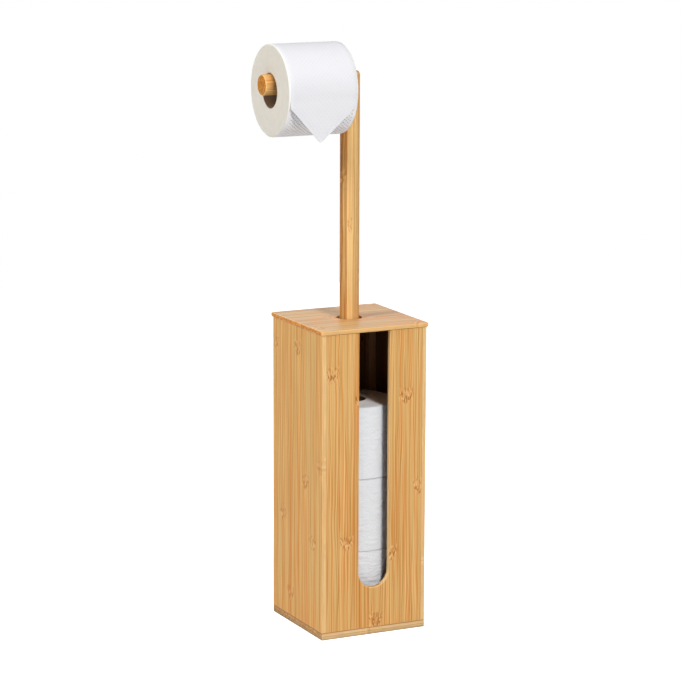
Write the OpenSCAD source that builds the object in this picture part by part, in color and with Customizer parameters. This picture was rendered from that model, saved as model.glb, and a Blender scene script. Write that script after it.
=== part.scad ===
// Free-standing toilet paper stand in laminated bamboo. A square box holds spare rolls
// threaded on a round post, and the post carries an arm for the roll in use.
// Units are millimetres, +Z is up, and the origin is the middle of the base on the floor.
// The slotted front faces -Y and the arm points to -X.

/* [Paper rolls] */
// Outer diameter of a full roll
roll_d = 119; // [90:1:130]
// Length of a roll, which is also its height when it stands
roll_l = 97; // [85:1:115]
// Inner diameter of the cardboard core
core_d = 43; // [40:0.5:50]
// Wall of the cardboard core
core_wall = 1; // [0.6:0.1:2]
// Rounding of a roll's outer rims
roll_rim = 2; // [1:0.5:6]
// Rolls that the box has room for
capacity = 4; // [2:1:5]
// Free space around a spare roll, on each side
roll_play = 9.5; // [4:0.5:25]
// Free height above a full stack of rolls
headroom = 5.3; // [2:0.1:30]

/* [Tail of the roll in use] */
// Thickness of the folded tail sheet
tail_t = 0.8; // [0.6:0.1:1.5]
// Depth of the folded point below the roll's axis
tail_drop = 62; // [45:1:100]
// Depth below the roll's axis at which the point starts to narrow
tail_shoulder = 17; // [5:1:35]
// Distance of the point from the roll's outer end
tail_tip = 43; // [20:1:65]

/* [Box] */
// Thickness of the four wall boards
panel_t = 6; // [4:0.5:9]
// Thickness of the base board
base_t = 10; // [8:0.5:18]
// Side of the square corner battens
batten_w = 10; // [8:0.5:12]
// Edge rounding of the boards that show
board_edge = 1; // [0.5:0.25:1.5]

/* [Front slot] */
// Width of the slot
slot_w = 43.5; // [20:0.5:70]
// Height of the slot's lowest point above the floor
slot_bottom = 63.5; // [40:0.5:150]
// Chamfer round the slot's outer edge
slot_edge = 1.5; // [0.5:0.25:3]

/* [Lid] */
// Thickness of the lid
lid_t = 6; // [4:0.5:12]
// Overhang of the lid past the box
lid_over = 2; // [0:0.5:10]
// Edge rounding of the lid
lid_edge = 1.5; // [0.5:0.25:1.75]
// Free space round the post in the lid's hole
hole_play = 4.3; // [1:0.1:8]
// Side of the square cleats under the lid
cleat_w = 8; // [6:0.5:12]
// Clearance of the cleats to the box's inside
cleat_play = 1; // [0.5:0.25:3]

/* [Post and arm] */
// Diameter of the post
post_d = 25.4; // [20:0.1:30]
// Rounding of the post's top
post_round = 5; // [1:0.5:8]
// Chamfer at the post's foot
foot_chamfer = 1.5; // [0.5:0.25:3]
// Height of the arm's axis above the floor
arm_h = 718; // [640:1:900]
// Diameter of the arm
arm_d = 27; // [22:0.5:32]
// Rounding of the arm's free end
arm_round = 3; // [1:0.5:6]
// Depth to which the arm's end is coped round the post
saddle = 5; // [2:0.5:8]
// Gap between the post and the roll in use
roll_gap = 4; // [1:0.5:20]
// Length of arm that shows past the roll
arm_stub = 11.5; // [5:0.5:40]

/* [Post socket] */
// Height of the socket above the base board
socket_h = 35; // [20:1:80]
// Clearance between the socket and the core of the lowest roll
socket_play = 1.5; // [0.5:0.25:3]
// Slip clearance of the post in its socket
slip = 0.3; // [0.2:0.05:0.6]

/* [Fasteners] */
// Shank diameter of the wood screws
screw_d = 3; // [2.5:0.1:3.5]
// Head diameter of the wood screws
screw_head = 6; // [5:0.1:7]
// Depth to which screw heads sit below the surface
screw_sink = 0.5; // [0.2:0.1:1]
// Length of the base board's screws past the board
base_bite = 18.5; // [12:0.5:30]
// Thickness of lid left over the tips of the cleats' screws
lid_skin = 2.5; // [1:0.25:3]
// Screws that hold the socket
socket_screws_n = 3; // [2:1:4]
// Thread diameter of the arm's bolt
bolt_d = 6; // [5:0.5:8]
// Head diameter of the arm's bolt
bolt_head = 11; // [10:0.5:13]
// Length of the arm's bolt, with its head
bolt_l = 40; // [34:1:60]
// Outer diameter of the threaded insert in the arm
insert_d = 9; // [8.5:0.5:12]
// Length of the threaded insert
insert_l = 15; // [10:1:25]
// Depth of the insert below the arm's coped end
insert_set = 2; // [0.5:0.5:6]

/* [Hidden] */

$fn = 96;
// Clearance of screwed, wound and glued-in parts in their seats
snug = 0.05;
// Overlap of a cut past the face that it opens
over = 1;
// Rest gap between the core and the arm that it hangs on
hang_gap = 0.3;
// Length of a wood screw's point
tip_l = 3;
// Width and depth of the cross recess in a wood screw
recess_w = 0.7;
recess_depth = 1;
// Size over corners of the bolt's hexagon socket
bolt_hex = 4.6;

// Box
box_w = roll_d + 2 * (roll_play + panel_t);
inner_w = box_w - 2 * panel_t;
panel_h = capacity * roll_l + headroom;
lid_z = base_t + panel_h;
lid_w = box_w + 2 * lid_over;
batten_x = inner_w / 2 - batten_w / 2;
cleat_x = inner_w / 2 - cleat_play - cleat_w / 2;
cleat_l = inner_w - 2 * (batten_w + cleat_play);

// Post, socket and arm
socket_d = core_d - 2 * socket_play;
socket_bore = post_d + 2 * slip;
post_top = arm_h + arm_d / 2;
arm_end_x = -(post_d / 2 + roll_gap + roll_l + arm_stub);
lid_hole_d = post_d + 2 * hole_play;

// Rolls
core_od = core_d + 2 * core_wall;
roll_z = arm_h + arm_d / 2 + hang_gap - core_d / 2;
roll_x = -(post_d / 2 + roll_gap + roll_l);

// Fasteners
head_h = (screw_head - screw_d) / 2;
base_screw_l = base_t - screw_sink + base_bite;
cleat_screw_l = cleat_w - screw_sink + lid_t - lid_skin;
bolt_head_h = (bolt_head - bolt_d) / 2;
// The bolt's head sinks until its rim lies inside the round post
bolt_x = sqrt(pow(post_d / 2, 2) - pow(bolt_head / 2, 2)) - snug;
insert_x = -post_d / 2 - insert_set;
socket_screw_r = (socket_bore + socket_d) / 4;

bamboo = "#dcae72";
bamboo_edge = "#e6be83";
bamboo_lid = "#d8b78a";
bamboo_dowel = "#d9a45f";
beech = "#cfa473";
steel = "#b9bbbd";
brass = "#c9a24a";
tissue = "#e7e7ea";
card = "#8a6a50";

// Square with four rounded corners, centred on the origin
module rounded_rect(w, h, r) {
    square([w - 2 * r, h], center = true);
    square([w, h - 2 * r], center = true);
    for (x = [-1, 1], y = [-1, 1])
        translate([x * (w / 2 - r), y * (h / 2 - r)])
            circle(r);
}

// Board with all its edges rounded, centred in X and Y and standing on z = 0
module board(w, d, h, r) {
    translate([0, 0, h / 2])
        intersection() {
            linear_extrude(h, center = true)
                rounded_rect(w, d, r);
            rotate([90, 0, 0])
                linear_extrude(d, center = true)
                    rounded_rect(w, h, r);
            rotate([90, 0, 90])
                linear_extrude(w, center = true)
                    rounded_rect(d, h, r);
        }
}

// Wall board with square ends and rounded outer long edges, its outer face on -Y
module wall_board(w, h, r) {
    linear_extrude(h)
        difference() {
            translate([-w / 2, -box_w / 2])
                square([w, panel_t]);
            for (s = [-1, 1])
                translate([s * (w / 2 - r), -box_w / 2 + r])
                    mirror([s < 0 ? 1 : 0, 0])
                        difference() {
                            translate([0, -r - over])
                                square([r + over, r + over]);
                            circle(r);
                        }
        }
}

// Countersunk wood screw, its head's face on z = 0 and its point up
module wood_screw(l) {
    difference() {
        rotate_extrude()
            polygon([
                [0, 0],
                [screw_head / 2, 0],
                [screw_d / 2, head_h],
                [screw_d / 2, l - tip_l],
                [0, l]
            ]);
        for (a = [0, 90])
            rotate([0, 0, a])
                translate([-screw_head / 4, -recess_w / 2, -over])
                    cube([screw_head / 2, recess_w, over + recess_depth]);
    }
}

// Hole for a countersunk wood screw: a clear way in from z = -screw_sink, then its seat
module screw_hole(l) {
    rotate_extrude()
        polygon([
            [0, -screw_sink - over],
            [screw_head / 2 + snug, -screw_sink - over],
            [screw_head / 2 + snug, 0],
            [screw_d / 2 + snug, head_h],
            [screw_d / 2 + snug, l - tip_l + snug],
            [0, l + 2 * snug]
        ]);
}

// Places of the four corner screws and battens
module at_corners() {
    for (x = [-1, 1], y = [-1, 1])
        translate([x * batten_x, y * batten_x, 0])
            children();
}

// Places of the socket's screws
module at_socket_screws() {
    for (i = [0 : socket_screws_n - 1])
        rotate([0, 0, 90 + i * 360 / socket_screws_n])
            translate([socket_screw_r, 0, 0])
                children();
}

// Places of the cleats' screws
module at_cleat_screws() {
    for (x = [-1, 1], y = [-1, 1])
        translate([x * cleat_x, y * cleat_l / 4, lid_z - cleat_w + screw_sink])
            children();
}

// Bottom board, which carries the walls, the rolls and the socket
module base_plate() {
    color(bamboo)
        difference() {
            board(box_w, box_w, base_t, board_edge);
            at_corners()
                translate([0, 0, screw_sink])
                    screw_hole(base_screw_l);
            at_socket_screws()
                translate([0, 0, screw_sink])
                    screw_hole(base_screw_l);
        }
}

// Slot with a round bottom, open to the lid, its outer edge chamfered
module slot_cut() {
    r = slot_w / 2;
    y0 = -box_w / 2;
    z0 = slot_bottom + r;
    translate([-r, y0 - over, z0])
        cube([slot_w, panel_t + 2 * over, lid_z]);
    translate([0, y0 + panel_t + over, z0])
        rotate([90, 0, 0])
            cylinder(h = panel_t + 2 * over, r = r);
    translate([0, y0 + slot_edge, z0])
        rotate([90, 0, 0])
            cylinder(h = slot_edge + over, r1 = r, r2 = r + slot_edge + over);
    translate([0, 0, z0])
        linear_extrude(lid_z)
            polygon([
                [-r, y0 + slot_edge],
                [r, y0 + slot_edge],
                [r + slot_edge + over, y0 - over],
                [-r - slot_edge - over, y0 - over]
            ]);
}

// Front wall, set between the side walls, with the slot that shows the stock
module front_panel() {
    color(bamboo)
        difference() {
            translate([-inner_w / 2, -box_w / 2, base_t])
                cube([inner_w, panel_t, panel_h]);
            slot_cut();
        }
}

// Back wall, set between the side walls
module back_panel() {
    color(bamboo)
        translate([-inner_w / 2, box_w / 2 - panel_t, base_t])
            cube([inner_w, panel_t, panel_h]);
}

// Side wall over the whole depth, so that its edges show on the front and back
module side_panel(turn) {
    color(bamboo_edge)
        rotate([0, 0, turn])
            translate([0, 0, base_t])
                wall_board(box_w, panel_h, board_edge);
}

// Square batten glued into a corner of the box
module corner_batten(x, y) {
    color(beech)
        difference() {
            translate([x * batten_x - batten_w / 2, y * batten_x - batten_w / 2, base_t])
                cube([batten_w, batten_w, panel_h]);
            translate([x * batten_x, y * batten_x, screw_sink])
                screw_hole(base_screw_l);
        }
}

// Four screws up through the base board into the battens
module base_screws() {
    color(steel)
        at_corners()
            translate([0, 0, screw_sink])
                wood_screw(base_screw_l);
}

// Turned collar that the post plugs into, small enough to stand inside a roll's core
module post_socket() {
    color(beech)
        difference() {
            translate([0, 0, base_t])
                cylinder(h = socket_h, d = socket_d);
            translate([0, 0, base_t - over])
                cylinder(h = socket_h + 2 * over, d = socket_bore);
            at_socket_screws()
                translate([0, 0, screw_sink])
                    screw_hole(base_screw_l);
        }
}

// Screws up through the base board into the socket's wall
module socket_screws() {
    color(steel)
        at_socket_screws()
            translate([0, 0, screw_sink])
                wood_screw(base_screw_l);
}

// Half outline of a round bar from z0 to z1, chamfered below and rounded above
module bar_profile(r, z0, z1, chamfer, round_r) {
    polygon([
        [0, z0],
        [r - chamfer, z0],
        [r, z0 + chamfer],
        [r, z1 - round_r],
        [r - round_r, z1 - round_r],
        [r - round_r, z1],
        [0, z1]
    ]);
    intersection() {
        translate([r - round_r, z1 - round_r])
            circle(round_r);
        translate([r - round_r, z1 - round_r])
            square([round_r, round_r]);
    }
}

// Way of the arm's bolt from the post's far side into the arm
module bolt_way(head_r, shank_r) {
    translate([bolt_x, 0, arm_h])
        rotate([0, -90, 0])
            rotate_extrude()
                polygon([
                    [0, -post_d],
                    [head_r, -post_d],
                    [head_r, 0],
                    [shank_r, bolt_head_h],
                    [shank_r, bolt_l + snug],
                    [0, bolt_l + snug]
                ]);
}

// Round post that plugs into the socket and runs up through the lid
module post() {
    color(bamboo_dowel)
        difference() {
            rotate_extrude()
                bar_profile(post_d / 2, base_t, post_top, foot_chamfer, post_round);
            bolt_way(bolt_head / 2 + snug, bolt_d / 2 + slip);
        }
}

// Round arm that the roll in use hangs on, its inner end coped round the post
module arm() {
    inner_x = -post_d / 2 + saddle;
    color(bamboo_dowel)
        difference() {
            translate([inner_x, 0, arm_h])
                rotate([0, -90, 0])
                    rotate_extrude()
                        bar_profile(arm_d / 2, 0, inner_x - arm_end_x, 0, arm_round);
            cylinder(h = post_top + over, d = post_d);
            translate([insert_x - insert_l - snug, 0, arm_h])
                rotate([0, 90, 0])
                    cylinder(h = insert_l + post_d, d = insert_d + 2 * snug);
            translate([bolt_x - bolt_l - over, 0, arm_h])
                rotate([0, 90, 0])
                    cylinder(h = bolt_l, d = bolt_d + 2 * slip);
        }
}

// Threaded brass insert in the arm's end grain
module arm_insert() {
    color(brass)
        translate([insert_x - insert_l, 0, arm_h])
            rotate([0, 90, 0])
                difference() {
                    cylinder(h = insert_l, d = insert_d);
                    translate([0, 0, -over])
                        cylinder(h = insert_l + 2 * over, d = bolt_d + 2 * snug);
                }
}

// Countersunk bolt with a hexagon socket that pulls the arm against the post
module arm_bolt() {
    color(steel)
        translate([bolt_x, 0, arm_h])
            rotate([0, -90, 0])
                difference() {
                    rotate_extrude()
                        polygon([
                            [0, 0],
                            [bolt_head / 2, 0],
                            [bolt_d / 2, bolt_head_h],
                            [bolt_d / 2, bolt_l],
                            [0, bolt_l]
                        ]);
                    translate([0, 0, -over])
                        cylinder(h = bolt_head_h + over, d = bolt_hex, $fn = 6);
                }
}

// Loose square lid with the hole that the post runs through
module lid() {
    color(bamboo_lid)
        difference() {
            translate([0, 0, lid_z])
                board(lid_w, lid_w, lid_t, lid_edge);
            translate([0, 0, lid_z - over])
                cylinder(h = lid_t + 2 * over, d = lid_hole_d);
            at_cleat_screws()
                screw_hole(cleat_screw_l);
        }
}

// Cleat under the lid that keeps it from sliding off the box
module lid_cleat(side) {
    color(beech)
        difference() {
            translate([side * cleat_x - cleat_w / 2, -cleat_l / 2, lid_z - cleat_w])
                cube([cleat_w, cleat_l, cleat_w]);
            at_cleat_screws()
                screw_hole(cleat_screw_l);
        }
}

// Screws up through the cleats into the lid
module cleat_screws() {
    color(steel)
        at_cleat_screws()
            wood_screw(cleat_screw_l);
}

// Wound paper of one roll, standing on z = 0
module wound_paper() {
    r_in = core_od / 2 + snug;
    r_out = roll_d / 2;
    color(tissue)
        rotate_extrude() {
            translate([r_in, 0])
                square([r_out - roll_rim - r_in, roll_l]);
            translate([r_in, roll_rim])
                square([r_out - r_in, roll_l - 2 * roll_rim]);
            for (z = [roll_rim, roll_l - roll_rim])
                translate([r_out - roll_rim, z])
                    circle(roll_rim);
        }
}

// Cardboard core of one roll, standing on z = 0
module cardboard_core() {
    color(card)
        difference() {
            cylinder(h = roll_l, d = core_od);
            translate([0, 0, -over])
                cylinder(h = roll_l + 2 * over, d = core_d);
        }
}

// Lays a standing roll on the arm, its first end towards the arm's free end
module on_arm() {
    translate([roll_x, 0, roll_z])
        rotate([0, 90, 0])
            children();
}

// Stands a roll in the stack, counted from the base
module in_stack(i) {
    translate([0, 0, base_t + (i - 1) * roll_l])
        children();
}

module roll_paper() {
    on_arm() wound_paper();
}

module roll_core() {
    on_arm() cardboard_core();
}

// Last sheet of the roll in use: over the front of the roll, then straight down to a point
module roll_tail() {
    r = roll_d / 2 + snug;
    x0 = roll_rim;
    x1 = roll_l - roll_rim;
    color(tissue) {
        intersection() {
            translate([roll_x + x0, 0, roll_z])
                rotate([0, 90, 0])
                    difference() {
                        cylinder(h = x1 - x0, r = r + tail_t);
                        translate([0, 0, -over])
                            cylinder(h = roll_l + 2 * over, r = r);
                    }
            translate([roll_x, -roll_d, roll_z])
                cube([roll_l, roll_d, roll_d]);
        }
        translate([roll_x, -r, roll_z])
            rotate([90, 0, 0])
                linear_extrude(tail_t)
                    polygon([
                        [x0, 0],
                        [x1, 0],
                        [x1, -tail_shoulder],
                        [tail_tip, -tail_drop],
                        [x0, -tail_shoulder]
                    ]);
    }
}

base_plate();
front_panel();
back_panel();
side_panel(-90);  // left_panel
side_panel(90);  // right_panel
corner_batten(-1, -1);  // corner_batten_1
corner_batten(1, -1);  // corner_batten_2
corner_batten(1, 1);  // corner_batten_3
corner_batten(-1, 1);  // corner_batten_4
base_screws();
post_socket();
socket_screws();
post();
arm();
arm_insert();
arm_bolt();
lid();
lid_cleat(-1);  // lid_cleat_left
lid_cleat(1);  // lid_cleat_right
cleat_screws();
roll_paper();
roll_core();
roll_tail();
in_stack(1) wound_paper();  // spare_paper_1
in_stack(2) wound_paper();  // spare_paper_2
in_stack(3) wound_paper();  // spare_paper_3
in_stack(1) cardboard_core();  // spare_core_1
in_stack(2) cardboard_core();  // spare_core_2
in_stack(3) cardboard_core();  // spare_core_3
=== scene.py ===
# %% [markdown]
# # A toilet paper stand in laminated bamboo
# The stand is a square bamboo box on a base board, with a loose lid, a round post that
# plugs into the base, and a round arm that carries the roll in use. Three spare rolls stand
# in the box round the post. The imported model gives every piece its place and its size.
# This lesson gives each of them its looks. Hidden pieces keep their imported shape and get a
# better finish, and what shows is rebuilt with eased edges, soft paper and real grain.

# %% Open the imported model
import math
import random

import bmesh
import bpy
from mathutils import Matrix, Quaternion, Vector


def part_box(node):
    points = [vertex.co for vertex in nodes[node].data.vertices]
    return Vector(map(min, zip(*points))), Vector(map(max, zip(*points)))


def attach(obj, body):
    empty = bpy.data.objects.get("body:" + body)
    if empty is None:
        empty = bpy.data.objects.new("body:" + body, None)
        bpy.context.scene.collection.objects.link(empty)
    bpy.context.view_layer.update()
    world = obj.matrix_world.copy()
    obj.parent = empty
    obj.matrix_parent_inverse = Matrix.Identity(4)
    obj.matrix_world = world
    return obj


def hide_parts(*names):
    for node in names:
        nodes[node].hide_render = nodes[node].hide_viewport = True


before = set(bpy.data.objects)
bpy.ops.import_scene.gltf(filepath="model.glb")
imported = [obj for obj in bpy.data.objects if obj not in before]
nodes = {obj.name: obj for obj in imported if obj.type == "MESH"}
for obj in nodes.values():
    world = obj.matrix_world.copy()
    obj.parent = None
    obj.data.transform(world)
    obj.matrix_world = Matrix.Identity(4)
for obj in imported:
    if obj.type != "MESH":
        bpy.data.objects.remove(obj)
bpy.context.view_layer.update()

# %% [markdown]
# Woodwork is thought of in millimetres and Blender works in metres, so one name turns the
# first into the second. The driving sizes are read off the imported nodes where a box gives
# them. The others are the few that a box can't show: the edges that are eased, the slot's
# rounding and the thickness of a sheet.

# %% Sizes
MM = 0.001


def span(node):
    """Lowest corner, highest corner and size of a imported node, in millimetres."""
    low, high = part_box(node)
    return low / MM, high / MM, (high - low) / MM


front_low, front_high, front_size = span("front_panel")
side_low, side_high, side_size = span("left_panel")
lid_low, lid_high, lid_size = span("lid")
post_low, post_high, post_size = span("post")
arm_low, arm_high, arm_size = span("arm")
roll_low, roll_high, roll_size = span("roll_paper")
tail_low, tail_high, _ = span("roll_tail")
box_w = side_size.y
panel_t = front_size.y
post_r = post_size.x / 2
arm_r = arm_size.y / 2
arm_z = arm_low.z + arm_r
roll_r = roll_size.y / 2
roll_l = roll_size.x
roll_z = (roll_low.z + roll_high.z) / 2
core_r = span("roll_core")[2].y / 2
board_ease, lid_ease, slot_ease, seam_ease = 1.0, 1.5, 1.5, 0.25
slot_r, slot_bottom = 43.5 / 2, 63.5
lid_hole_r = 17.0
roll_rim, sheet_t = 2.0, 0.3
print("box", round(box_w, 2), "post", round(post_r * 2, 2), "arm at", round(arm_z, 2),
      "roll", round(roll_r * 2, 2), "x", round(roll_l, 2), "at", round(roll_z, 2))

# %% [markdown]
# A finish is a small program of shader nodes. It reads far better as sums in Python, so one
# class wraps an output socket and turns +, -, *, /, ** and abs into Math nodes. Every other
# node comes from its one method, which sets the node's own settings first and then its
# sockets.

# %% Shader sums
class Wire:
    """One output of a material's nodes; sums written with it become Math nodes."""

    def __init__(self, tree, socket=None):
        self.tree, self.socket = tree, socket

    def node(self, kind, settings=None, sockets=None, out=0):
        made = self.tree.nodes.new("ShaderNode" + kind)
        for name, value in (settings or {}).items():
            if name == "stops":
                ramp = made.color_ramp.elements
                while len(ramp) < len(value):
                    ramp.new(1.0)
                for stop, (at, colour) in zip(ramp, value):
                    stop.position, stop.color = at, colour
            elif name == "steps":
                made.color_ramp.interpolation = value
            else:
                setattr(made, name, value)
        for name, value in (sockets or {}).items():
            if isinstance(value, Wire):
                self.tree.links.new(value.socket, made.inputs[name])
            else:
                made.inputs[name].default_value = value
        if out is None:
            return [Wire(self.tree, socket) for socket in made.outputs]
        return Wire(self.tree, made.outputs[out])

    def math(self, operation, *values):
        return self.node("Math", {"operation": operation}, dict(enumerate(values)))

    def __add__(self, other):
        return self.math("ADD", self, other)

    __radd__ = __add__

    def __sub__(self, other):
        return self.math("SUBTRACT", self, other)

    def __rsub__(self, other):
        return self.math("SUBTRACT", other, self)

    def __mul__(self, other):
        return self.math("MULTIPLY", self, other)

    __rmul__ = __mul__

    def __truediv__(self, other):
        return self.math("DIVIDE", self, other)

    def __rtruediv__(self, other):
        return self.math("DIVIDE", other, self)

    def __pow__(self, other):
        return self.math("POWER", self, other)

    def __abs__(self):
        return self.math("ABSOLUTE", self)

    def between(self, low, high):
        """0 below low, 1 above high and a smooth rise between."""
        return self.node("MapRange", {"interpolation_type": "SMOOTHSTEP"},
                         {"Value": self, "From Min": low, "From Max": high})

    def feed(self, socket):
        """Links this output to an input of the material's main shader."""
        shader = self.tree.nodes["Principled BSDF"]
        self.tree.links.new(self.socket, shader.inputs[socket])


# %% [markdown]
# Colours are easiest to judge as screen values, so they are written as hex and turned into
# the linear values that shaders work with. Two short helpers make the nodes that every
# finish here uses: noise stretched along any axis, and a mix of two colours. Another starts
# a material and hands back its place and facing in the piece's own coordinates, so that a
# pattern stays in its wood when the piece moves. The last one turns a height into relief.

# %% Colours, noise and a start for each finish
def rgb(code):
    """Linear colour of a screen colour such as 'c99a5b'."""
    parts = [int(code[i:i + 2], 16) / 255 for i in (0, 2, 4)]
    return tuple(p / 12.92 if p < 0.04045 else ((p + 0.055) / 1.055) ** 2.4 for p in parts) + (1,)


def noise(x, y, z, detail=2.0, rough=0.5):
    """Soft noise from 0 to 1 over three wires, whose scale sets its stretch."""
    at = x.node("CombineXYZ", {}, {0: x, 1: y, 2: z})
    return at.node("TexNoise", {}, {"Vector": at, "Scale": 1.0, "Detail": detail,
                                    "Roughness": rough})


def mix(amount, one, other):
    """Colour one, changed towards the other by an amount that is a wire."""
    return amount.node("Mix", {"data_type": "RGBA"}, {0: amount, 6: one, 7: other}, out=2)


def start(name, **shader):
    """A new material; returns it, its x, y, z in millimetres and its facing."""
    made = bpy.data.materials.new(name)
    made.use_nodes = True
    sockets = made.node_tree.nodes["Principled BSDF"].inputs
    for socket, value in shader.items():
        sockets[socket.replace("_", " ")].default_value = value
    wire = Wire(made.node_tree)
    place = wire.node("TexCoord", out="Object")
    large = wire.node("VectorMath", {"operation": "SCALE"}, {0: place, "Scale": 1 / MM})
    facing = wire.node("TexCoord", out="Normal")
    return (made, wire.node("SeparateXYZ", {}, {0: large}, out=None),
            wire.node("SeparateXYZ", {}, {0: facing}, out=None))


def bump(height, depth):
    """Feeds a height from 0 to 1 to the shader's Normal, this many millimetres deep."""
    relief = {"Strength": 1.0, "Distance": depth * MM, "Height": height}
    height.node("Bump", {}, relief).feed("Normal")


# %% [markdown]
# ## Bamboo
# A bamboo board is glued up from strips. Each strip has its own tone, fine fibres along its
# length, and here and there a knuckle, where the cane had a joint: a fan of short dark
# flecks with the fibres bending round it. At the ends the cut fibres show as dots. A photo
# texture would need a file and would repeat, and plain wood noise has no strips, so the
# finish is worked out from the place in the board: which strip, how far along it, and how
# far from its knuckle. The strips' knuckle heights and tones are a short list for each
# board, as a cabinet maker would note them. A strip's knuckles are 400 mm apart, so that
# hardly any strip of the walls shows two.

# %% Colours and marks of bamboo
KNUCKLE_STEP, KNUCKLE_HALF, KNUCKLE_SAG = 400.0, 10.4, 13.0
PALE, DEEP = rgb("f2c27e"), rgb("bd7f30")
ORANGE, STRAW, CREAM = rgb("de9042"), rgb("e0b874"), rgb("f4d096")
FLECK, SEAM, PORE, INSIDE_SHADE = rgb("9c5a1c"), rgb("8e5520"), rgb("7a4314"), rgb("4c1e08")
CUT, CUT_DEEP, FLOOR_SHADE = rgb("cc8a44"), rgb("a4672a"), rgb("786850")


def per_strip(index, values, scale):
    """One value for each strip, from a ramp with steps."""
    count = len(values)
    stops = [(i / count, (v / scale,) * 3 + (1,)) for i, v in enumerate(values)]
    at = (index + 0.5) / count
    return at.node("ValToRGB", {"steps": "CONSTANT", "stops": stops}, {0: at}) * scale


def knuckle_marks(beside, off, pitch, shift):
    """A shallow bowl of short flecks: its area, its dark and its pale flecks, from 0 to 1."""
    width = min(pitch * 0.49, KNUCKLE_HALF)
    aside = abs(beside)
    bowl = off + 4.5 - beside * beside * (KNUCKLE_SAG / width ** 2)
    inner_bowl = off - 6.0
    within = (1.0 - abs(bowl).between(3.5, 7.5)) * (1.0 - aside.between(width * 0.8, width))
    upper = ((1.0 - abs(inner_bowl).between(2.0, 5.0))
             * (1.0 - aside.between(width * 0.45, width * 0.7)) * 0.6)
    within = within.math("MAXIMUM", within, upper)
    flecks = noise(beside * 0.58 - beside * off * 0.012, off * 0.15, shift + 3.0, 1.0)
    return within, flecks.between(0.51, 0.6) * within, (1.0 - flecks.between(0.4, 0.49)) * within


def cut_fibres(over, depth, index, shift, cut):
    """The colour of a cut end, and the dots of its fibres from 0 to 1."""
    spots_at = over.node("CombineXYZ", {}, {0: over * 1.25, 1: depth * 1.25, 2: index})
    spots = spots_at.node("TexVoronoi", {},
                          {"Vector": spots_at, "Scale": 1.0, "Randomness": 0.9})
    pores = 1.0 - spots.between(0.12, 0.34)
    ends = mix(noise(over * 0.35, depth * 0.35, shift, 2.0).between(0.35, 0.65), *cut)
    return mix(pores * 0.4, ends, PORE), pores


print("bamboo's knuckles are", KNUCKLE_STEP, "mm apart")

# %% [markdown]
# The finish itself starts with the fibres, from noise whose scale across the grain is many
# times that along it. The same noise read 1.5 mm to the side and taken away gives each
# fibre a dark and a pale flank, as grooves have. Knuckles, glue seams, sawn edges and cut
# ends are then laid over it one by one, each by its own mask.

# %% The bamboo finish
FIBRE, FLANK = 0.65, 0.975


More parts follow.
